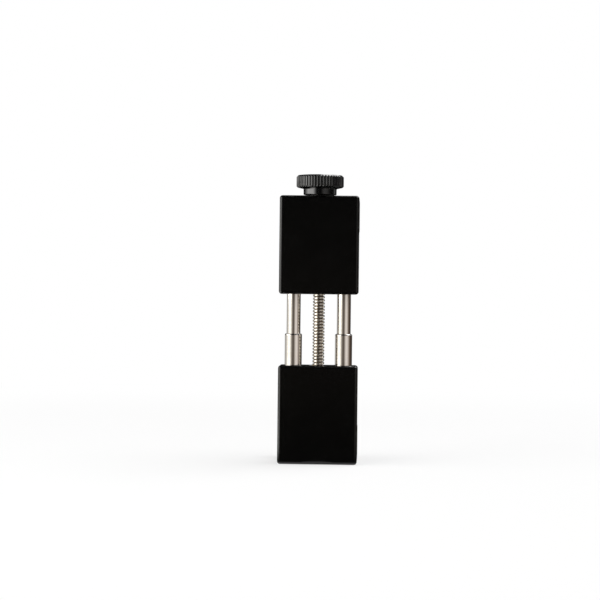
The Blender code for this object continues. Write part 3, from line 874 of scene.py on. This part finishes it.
def guide_tube(side):
    """Outer tube of a guide, a little taller than the plain one, with a chamfered lip."""
    low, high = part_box(f"{side}_guide_tube")
    top = high.z + TUBE_RISE
    outer = (high.x - low.x) / 2
    inner = outer - TUBE_WALL
    seam = low.z + 1 * MM
    profile = rounded(
        [
            (inner, seam),
            (inner, low.z),
            (outer, low.z),
            (outer, top - TUBE_LIP_HEIGHT),
            (outer - TUBE_LIP_WIDTH, top),
            (inner, top),
            (inner, seam + 0.2 * MM),
        ],
        0.1 * MM,
        hold=0.02 * MM,
    )
    add_piece(
        f"{side}_tube",
        turned(profile, x=AXIS_X[side], closed=True),
        NICKEL[side],
        "lower_jaw",
        f"{side}_guide_tube",
    )


def guide_rod(side):
    low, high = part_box(f"{side}_guide_rod")
    radius = (high.x - low.x) / 2
    profile = rounded([(0, high.z), (radius, high.z), (radius, low.z), (0, low.z)], 0.5 * MM)
    add_piece(
        f"{side}_rod",
        turned(profile, x=AXIS_X[side]),
        NICKEL[side],
        "upper_jaw",
        f"{side}_guide_rod",
    )


def lead_screw():
    """Thread from the tip to just inside the upper jaw, and a plain shank above it."""
    low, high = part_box("lead_screw")
    crest = (high.x - low.x) / 2
    root = crest - THREAD_DEPTH
    ease = 0.1 * THREAD_DEPTH
    section = [
        (root, 0.00),
        (root, 0.02),
        (root + ease, 0.06),
        (crest - ease, 0.16),
        (crest - 0.3 * ease, 0.18),
        (crest, 0.21),
        (crest, 0.23),
        (crest, 0.63),
        (crest, 0.65),
        (crest - 0.3 * ease, 0.68),
        (crest - ease, 0.70),
        (root + ease, 0.80),
        (root, 0.84),
        (root, 0.86),
        (root, 1.00),
    ]
    thread_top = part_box("upper_jaw_body")[0].z + THREAD_IN_JAW
    thread_start = low.z + THREAD_START
    thread = wound(section, THREAD_PITCH, thread_start, thread_top)
    bmesh.ops.translate(thread, vec=(0, AXIS_Y, 0), verts=thread.verts)
    core_radius = root - THREAD_OVERLAP
    shank_bottom = thread_top - 0.2 * MM
    core = turned(
        [
            (0, high.z),
            (crest - SHANK_CHAMFER, high.z),
            (crest, high.z - SHANK_CHAMFER),
            (crest, shank_bottom),
            (core_radius, shank_bottom - 0.5 * MM),
            (core_radius, thread_start + 0.1 * MM),
            (root + 0.3 * MM, thread_start),
            (root - 0.1 * MM, low.z),
            (0, low.z),
        ],
        segments=48,
    )
    add_piece(
        "threaded_screw",
        joined(thread, core),
        SCREW_STEEL,
        "knob_and_screw",
        "lead_screw",
        sharp=50,
    )


def cut_knurl(bm, crest):
    """Takes everything outside the straight knurling away: rounded teeth with rounded valleys."""
    for vert in bm.verts:
        x, y = vert.co.x, vert.co.y - AXIS_Y
        place = (math.atan2(y, x) * KNURL_TEETH / math.tau) % 1.0
        away = min(1.0, max(0.0, (abs(place - 0.5) * 2 - KNURL_CREST) / KNURL_FLANK))
        limit = crest - KNURL_DEPTH * away * away * (3 - 2 * away)
        reach = math.hypot(x, y)
        if reach > limit:
            vert.co.x = x * limit / reach
            vert.co.y = AXIS_Y + y * limit / reach


def knob():
    """Knurled head with a dished top and a coned underside, on a plain neck."""
    low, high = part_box("knob")
    head = high.z - KNOB_HEAD
    lower_rim_radius = KNOB_RADIUS - KNOB_LOWER_CHAMFER
    upper_rim_radius = KNOB_RADIUS - KNOB_UPPER_CHAMFER
    shares = [step / RIM_STEPS for step in range(RIM_STEPS + 1)]
    lower_rim = [
        (lower_rim_radius + KNOB_LOWER_CHAMFER * share, head + KNOB_LOWER_CHAMFER * share)
        for share in shares[1:]
    ]
    upper_rim = [
        (KNOB_RADIUS - KNOB_UPPER_CHAMFER * share, high.z - KNOB_UPPER_CHAMFER * (1 - share))
        for share in shares
    ]
    neck = rounded(
        [
            (0, head + KNOB_BORE_DEPTH),
            (SCREW_BORE, head + KNOB_BORE_DEPTH),
            (SCREW_BORE, low.z),
            (KNOB_NECK_RADIUS, low.z),
            (KNOB_NECK_RADIUS, head - KNOB_CONE),
            (lower_rim_radius, head),
        ],
        0.22 * MM,
    )
    top = rounded(
        [
            (upper_rim_radius - 0.05 * MM, high.z),
            (KNOB_DISH_RADIUS, high.z),
            (KNOB_DISH_FLOOR_RADIUS, high.z - KNOB_DISH_DEPTH),
            (0, high.z - KNOB_DISH_DEPTH),
        ],
        0.15 * MM,
    )
    profile = neck + lower_rim + upper_rim + top
    bm = turned(profile, segments=KNURL_TEETH * KNURL_FINENESS)
    cut_knurl(bm, KNOB_RADIUS)
    screw_low, screw_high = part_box("knob_set_screw")
    height = (screw_low.z + screw_high.z) / 2
    bore_start = AXIS_Y + GRUB_BORE_START
    for_grub_screw = cross_bore(GRUB_BORE, 0, bore_start, AXIS_Y + KNOB_RADIUS + PAST, height)
    add_piece(
        "knurled_knob",
        carved(bm, [for_grub_screw]),
        GLOSS_BLACK,
        "knob_and_screw",
        "knob",
        sharp=44,
    )


def knob_grub_screw():
    """Grub screw across the knob, with a hexagon socket in its outer end."""
    low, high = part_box("knob_set_screw")
    radius = (high.x - low.x) / 2
    length = high.y - low.y
    profile = rounded(
        [(0, 0), (radius - GRUB_POINT, 0), (radius, GRUB_POINT), (radius, length), (0, length)],
        0.15 * MM,
    )
    bm = turned(profile, y=0.0, segments=48)
    bmesh.ops.rotate(bm, matrix=Matrix.Rotation(math.radians(-90), 3, "X"), verts=bm.verts)
    height = (low.z + high.z) / 2
    bmesh.ops.translate(bm, vec=(0, low.y, height), verts=bm.verts)
    floor = high.y - GRUB_SOCKET_DEPTH
    socket = cross_bore(GRUB_SOCKET_RADIUS, 0, floor, high.y + 0.5 * MM, height, corners=6)
    add_piece(
        "knob_grub_screw",
        carved(bm, [socket]),
        BLACK_OXIDE,
        "knob_and_screw",
        "knob_set_screw",
        sharp=40,
    )


def washer():
    low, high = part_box("thrust_washer")
    outer = (high.x - low.x) / 2
    inner = 2.3 * MM
    middle = (low.z + high.z) / 2
    profile = rounded(
        [
            (inner, middle),
            (inner, low.z),
            (outer, low.z),
            (outer, high.z),
            (inner, high.z),
            (inner, middle + 0.05 * MM),
        ],
        0.06 * MM,
    )
    add_piece(
        "bearing_washer",
        turned(profile, closed=True),
        NYLON,
        "upper_jaw",
        "thrust_washer",
    )


def nut():
    low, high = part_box("lead_nut")
    outer = (high.x - low.x) / 2
    inner = SCREW_BORE
    middle = (low.z + high.z) / 2
    profile = rounded(
        [
            (inner, middle),
            (inner, low.z),
            (outer, low.z),
            (outer, high.z),
            (inner + 0.4 * MM, high.z),
            (inner, high.z - 0.4 * MM),
            (inner, middle + 0.1 * MM),
        ],
        0.2 * MM,
    )
    add_piece("brass_nut", turned(profile, closed=True), BRASS, "lower_jaw", "lead_nut")


def tripod_bushing():
    """Steel bushing with the tripod's thread cut inside it and a chamfered mouth."""
    low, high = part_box("tripod_bushing")
    outer = (high.x - low.x) / 2
    middle = (low.z + high.z) / 2
    root = TRIPOD_RADIUS
    crest = root - TRIPOD_THREAD_DEPTH
    bore = root + THREAD_OVERLAP
    section = [
        (root, 0.00),
        (root, 0.06),
        (crest, 0.44),
        (crest, 0.56),
        (root, 0.94),
        (root, 1.00),
    ]
    thread = wound(section, TRIPOD_PITCH, low.z + 0.3 * MM, high.z - 0.05 * MM)
    bmesh.ops.recalc_face_normals(thread, faces=thread.faces)
    shell = turned(
        rounded(
            [
                (bore, middle),
                (bore, low.z + TRIPOD_MOUTH_HEIGHT),
                (root + TRIPOD_MOUTH_WIDTH, low.z),
                (outer, low.z),
                (outer, high.z),
                (bore, high.z),
                (bore, middle + 0.1 * MM),
            ],
            0.1 * MM,
        ),
        y=0.0,
        closed=True,
    )
    add_piece(
        "threaded_bushing",
        joined(shell, thread),
        BUSHING_STEEL,
        "lower_jaw",
        "tripod_bushing",
    )


# Moulded pieces


def softened_copy(node, name, body):
    """A rubber piece of the same form as its CAD node, with its edges softly rounded."""
    bm = bmesh.new()
    bm.from_mesh(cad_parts[node].data)
    bmesh.ops.remove_doubles(bm, verts=bm.verts, dist=0.001 * MM)
    bmesh.ops.dissolve_limit(bm, angle_limit=math.radians(1), verts=bm.verts, edges=bm.edges)
    add_piece(name, bm, RUBBER, body, node, sharp=28, soften=RUBBER_ROUND)


def rubber_parts():
    for place in ("lower", "upper"):
        body = f"{place}_jaw"
        softened_copy(f"{place}_channel_liner", f"{place}_liner", body)
        softened_copy(f"{place}_back_pad", f"{place}_pad", body)


def dress_hidden_pieces():
    for name in HIDDEN_PIECES:
        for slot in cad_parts[name].material_slots:
            slot.link = "OBJECT"
            slot.material = BLACK_OXIDE


# Studio


def light_source(tree, kind, colour, strength):
    """An emission or a background of one even colour."""
    made = tree.nodes.new(kind)
    made.inputs["Color"].default_value = (*colour, 1)
    made.inputs["Strength"].default_value = strength
    return made.outputs[0]


def directly_seen(tree):
    """1 to the camera, in reflections and through glass, and 0 to light on its way elsewhere."""
    path = tree.nodes.new("ShaderNodeLightPath")
    seen = calculate(tree, "ADD", path.outputs["Is Camera Ray"], path.outputs["Is Glossy Ray"])
    return calculate(tree, "ADD", seen, path.outputs["Is Transmission Ray"], clamp=True)


def mix_into(tree, output_kind, share, first, second):
    """Output that goes from the first shader to the second with the share."""
    mix = tree.nodes.new("ShaderNodeMixShader")
    tree.links.new(share, mix.inputs["Fac"])
    tree.links.new(first, mix.inputs[1])
    tree.links.new(second, mix.inputs[2])
    output = tree.nodes.new(output_kind)
    tree.links.new(mix.outputs[0], output.inputs["Surface"])


def studio_white():
    """Matt white, seen by the camera and reflections as plain white, shaded near the object."""
    made = bpy.data.materials.new("studio_white")
    made.use_nodes = True
    tree = made.node_tree
    tree.nodes.clear()
    matt = tree.nodes.new("ShaderNodeBsdfDiffuse")
    matt.inputs["Color"].default_value = (0.9, 0.9, 0.9, 1)
    glow = light_source(tree, "ShaderNodeEmission", (1, 1, 1), 1.0)
    far, _ = axis_distance(tree, (0.0, 0.0, 0.0))
    reach = tree.nodes.new("ShaderNodeMapRange")
    reach.interpolation_type = "SMOOTHERSTEP"
    tree.links.new(far, reach.inputs["Value"])
    reach.inputs["From Min"].default_value = SHADE_NEAR
    reach.inputs["From Max"].default_value = SHADE_FAR
    reach.inputs["To Min"].default_value = SHADE_WHITENESS
    share = calculate(tree, "MULTIPLY", directly_seen(tree), reach.outputs["Result"])
    mix_into(tree, "ShaderNodeOutputMaterial", share, matt.outputs[0], glow)
    return made


def build_floor():
    """Floor that turns up into a backdrop well behind the object."""
    bm = bmesh.new()
    path = [(FLOOR_FRONT, -FLOOR_SUNK), (FLOOR_BACK, -FLOOR_SUNK)]
    for step in range(1, BEND_STEPS + 1):
        turn = math.radians(90) * step / BEND_STEPS
        back = FLOOR_BACK + BACKDROP_BEND * math.sin(turn)
        path.append((back, BACKDROP_BEND - BACKDROP_BEND * math.cos(turn)))
    path.append((FLOOR_BACK + BACKDROP_BEND, BACKDROP_TOP))
    verts = [bm.verts.new((-FLOOR_SIDE, y, z)) for y, z in path]
    edges = [bm.edges.new(pair) for pair in zip(verts, verts[1:])]
    grown = bmesh.ops.extrude_edge_only(bm, edges=edges)["geom"]
    far = [item for item in grown if isinstance(item, bmesh.types.BMVert)]
    bmesh.ops.translate(bm, vec=(2 * FLOOR_SIDE, 0, 0), verts=far)
    bmesh.ops.recalc_face_normals(bm, faces=bm.faces)
    mesh = bpy.data.meshes.new("studio_floor")
    bm.to_mesh(mesh)
    bm.free()
    mesh.shade_smooth()
    mesh.materials.append(studio_white())
    floor = bpy.data.objects.new("studio_floor", mesh)
    bpy.context.scene.collection.objects.link(floor)


def way_to(azimuth, elevation):
    """Direction from the object. Azimuth 0 is at the camera, and left is negative."""
    turn = math.radians(azimuth)
    rise = math.radians(elevation)
    level = math.cos(rise)
    return Vector((math.sin(turn) * level, -math.cos(turn) * level, math.sin(rise)))


def add_softbox(name, way, distance, size, strength, colour=(1, 1, 1), mirrored=True):
    """Area light that faces the object. One that isn't mirrored lights matt surfaces only."""
    light = bpy.data.lights.new(name, "AREA")
    light.shape = "RECTANGLE"
    light.size, light.size_y = size
    light.color = colour
    # The power that gives the panel this brightness
    light.energy = strength * size[0] * size[1] * math.pi
    lamp = bpy.data.objects.new(name, light)
    lamp.location = Vector(AIM) + way * distance
    lamp.rotation_euler = way.to_track_quat("Z", "Y").to_euler()
    lamp.visible_camera = False
    lamp.visible_glossy = mirrored
    bpy.context.scene.collection.objects.link(lamp)


def round_about(name, stops):
    """Glow that changes with the azimuth, from (azimuth, colour) stops."""
    made = bpy.data.materials.new(name)
    made.use_nodes = True
    tree = made.node_tree
    tree.nodes.clear()
    split = tree.nodes.new("ShaderNodeSeparateXYZ")
    tree.links.new(object_point(tree), split.inputs[0])
    to_camera = calculate(tree, "MULTIPLY", split.outputs["Y"], -1.0)
    turn = calculate(tree, "ARCTAN2", split.outputs["X"], to_camera)
    ramp = tree.nodes.new("ShaderNodeValToRGB")
    tree.links.new(remap(tree, turn, -math.pi, math.pi), ramp.inputs["Fac"])
    places = ramp.color_ramp.elements
    for azimuth, _ in stops[1:-1]:
        places.new((azimuth + 180) / 360)
    for place, (_, shade) in zip(places, stops):
        place.color = (*(part / BRIGHTEST_SCREEN for part in shade), 1)
    glow = tree.nodes.new("ShaderNodeEmission")
    glow.inputs["Strength"].default_value = BRIGHTEST_SCREEN
    tree.links.new(ramp.outputs["Color"], glow.inputs["Color"])
    output = tree.nodes.new("ShaderNodeOutputMaterial")
    tree.links.new(glow.outputs[0], output.inputs["Surface"])
    return made


def add_surround(name, profile, stops):
    """Screen all round the object, for polished metal and gloss to reflect.

    It is drawn as (distance, height) points. It lights nothing matt and casts no shadow.
    """
    mesh = bpy.data.meshes.new(name)
    bm = turned(profile)
    bm.to_mesh(mesh)
    bm.free()
    mesh.materials.append(round_about(name, stops))
    screen = bpy.data.objects.new(name, mesh)
    screen.visible_camera = False
    screen.visible_diffuse = False
    screen.visible_shadow = False
    bpy.context.scene.collection.objects.link(screen)


def build_world():
    """White to the camera and in reflections, and a dim fill to everything else."""
    world = bpy.data.worlds.new("studio_room")
    bpy.context.scene.world = world
    world.use_nodes = True
    tree = world.node_tree
    tree.nodes.clear()
    white = light_source(tree, "ShaderNodeBackground", (1, 1, 1), 1.0)
    room = light_source(tree, "ShaderNodeBackground", (0.95, 0.97, 1.0), 0.25)
    mix_into(tree, "ShaderNodeOutputWorld", directly_seen(tree), room, white)


def build_camera():
    """Long lens, level with the middle of the adapter, a little to its right and turned a bit."""
    yaw = math.radians(CAMERA_YAW)
    pitch = math.radians(CAMERA_PITCH)
    roll = math.radians(CAMERA_ROLL)
    forward = Vector(
        (math.sin(yaw) * math.cos(pitch), math.cos(yaw) * math.cos(pitch), math.sin(pitch))
    )
    level = Vector((math.cos(yaw), -math.sin(yaw), 0))
    upright = level.cross(forward)
    right = level * math.cos(roll) + upright * math.sin(roll)
    up = upright * math.cos(roll) - level * math.sin(roll)
    lens = bpy.data.cameras.new("camera")
    lens.sensor_width = SENSOR_WIDTH
    lens.lens = FOCAL_LENGTH
    lens.clip_start = 0.05
    camera = bpy.data.objects.new("camera", lens)
    turn = Matrix((right, up, -forward)).transposed().to_4x4()
    camera.matrix_world = Matrix.Translation(Vector(CAMERA_PLACE)) @ turn
    bpy.context.scene.collection.objects.link(camera)
    bpy.context.scene.camera = camera


lower_jaw()
upper_jaw()
for side in SIDES:
    guide_tube(side)
    guide_rod(side)
lead_screw()
knob()
knob_grub_screw()
washer()
nut()
tripod_bushing()
rubber_parts()
dress_hidden_pieces()
build_floor()
build_world()
add_softbox(
    "left_softbox", way_to(-63.5, 12), 0.75, (0.98, 0.9), 3.0, (1.0, 0.99, 0.96), mirrored=False
)
add_softbox(
    "right_softbox", way_to(45, 12), 0.85, (1.1, 0.9), 0.9, (1.0, 0.96, 0.93), mirrored=False
)
add_softbox("top_softbox", way_to(110, 65), 1.0, (0.85, 0.85), 3.2)
add_surround(
    "low_screen",
    [(SCREEN_DISTANCE, LOW_SCREEN_BASE), (SCREEN_DISTANCE, LOW_SCREEN_TOP)],
    [
        (-180, (0.2, 0.195, 0.19)),
        (-165, (0.4, 0.39, 0.38)),
        (-125, (0.45, 0.44, 0.42)),
        (-105, (0.60, 0.59, 0.57)),
        (-92, (0.72, 0.71, 0.68)),
        (-82, (1.05, 1.03, 0.96)),
        (-72, (1.35, 1.32, 1.2)),
        (-50, (1.35, 1.32, 1.2)),
        (-40, (1.05, 1.02, 0.93)),
        (-31, (0.62, 0.59, 0.54)),
        (-22, (0.34, 0.31, 0.275)),
        (-12, (0.18, 0.155, 0.13)),
        (-5, (0.12, 0.10, 0.085)),
        (5, (0.12, 0.10, 0.085)),
        (13, (0.23, 0.205, 0.18)),
        (22, (0.52, 0.48, 0.445)),
        (34, (0.80, 0.75, 0.71)),
        (52, (0.78, 0.73, 0.69)),
        (66, (0.50, 0.45, 0.41)),
        (80, (0.22, 0.175, 0.145)),
        (95, (0.07, 0.052, 0.04)),
        (150, (0.05, 0.04, 0.034)),
        (180, (0.2, 0.195, 0.19)),
    ],
)
add_surround(
    "near_screen",
    [(GROUND_NEAR, GROUND_HEIGHT), (GROUND_MIDDLE, GROUND_HEIGHT)],
    [(-180, (0.03, 0.03, 0.03)), (180, (0.03, 0.03, 0.03))],
)
add_surround(
    "ground_screen",
    [
        (GROUND_MIDDLE, GROUND_HEIGHT),
        (SCREEN_DISTANCE, GROUND_HEIGHT),
        (SCREEN_DISTANCE, LOW_SCREEN_BASE),
    ],
    [
        (-180, (0.2, 0.195, 0.19)),
        (-165, (0.4, 0.39, 0.38)),
        (-125, (0.45, 0.44, 0.42)),
        (-105, (0.60, 0.59, 0.57)),
        (-88, (0.85, 0.84, 0.82)),
        (-72, (3.9, 3.86, 3.74)),
        (-47, (3.9, 3.86, 3.74)),
        (-30, (0.3, 0.29, 0.28)),
        (-22, (0.015, 0.015, 0.015)),
        (18, (0.015, 0.015, 0.015)),
        (34, (0.3, 0.28, 0.26)),
        (60, (0.3, 0.28, 0.26)),
        (83, (0.1, 0.08, 0.065)),
        (150, (0.05, 0.04, 0.03)),
        (180, (0.2, 0.195, 0.19)),
    ],
)
add_surround(
    "high_screen",
    [(SCREEN_DISTANCE, LOW_SCREEN_TOP), (SCREEN_DISTANCE, HIGH_SCREEN_TOP)],
    [
        (-180, UNLIT),
        (-128, (0.03, 0.03, 0.03)),
        (-114, (0.7, 0.69, 0.68)),
        (-100, (1.8, 1.78, 1.74)),
        (-88, (3.5, 3.46, 3.36)),
        (-47, (3.5, 3.46, 3.36)),
        (-38, (1.8, 1.78, 1.74)),
        (-31, (0.7, 0.69, 0.68)),
        (-26, (0.2, 0.2, 0.2)),
        (-20, UNLIT),
        (7, UNLIT),
        (16, (0.15, 0.145, 0.14)),
        (26, (0.35, 0.34, 0.33)),
        (42, (0.38, 0.37, 0.36)),
        (56, (0.22, 0.21, 0.2)),
        (68, (0.08, 0.08, 0.08)),
        (80, UNLIT),
        (104, UNLIT),
        (114, (0.2, 0.2, 0.2)),
        (124, (0.5, 0.5, 0.5)),
        (136, (0.1, 0.1, 0.1)),
        (148, UNLIT),
        (180, UNLIT),
    ],
)
add_surround(
    "dark_hood",
    [(SCREEN_DISTANCE, HIGH_SCREEN_TOP), (SCREEN_DISTANCE, HOOD_TOP), (HOOD_HOLE, HOOD_TOP)],
    [
        (-180, UNLIT),
        (60, UNLIT),
        (85, (2.5, 2.5, 2.5)),
        (105, (3.8, 3.8, 3.8)),
        (160, (3.8, 3.8, 3.8)),
        (172, UNLIT),
        (180, UNLIT),
    ],
)
build_camera()
bpy.context.scene.view_settings.view_transform = "Standard"
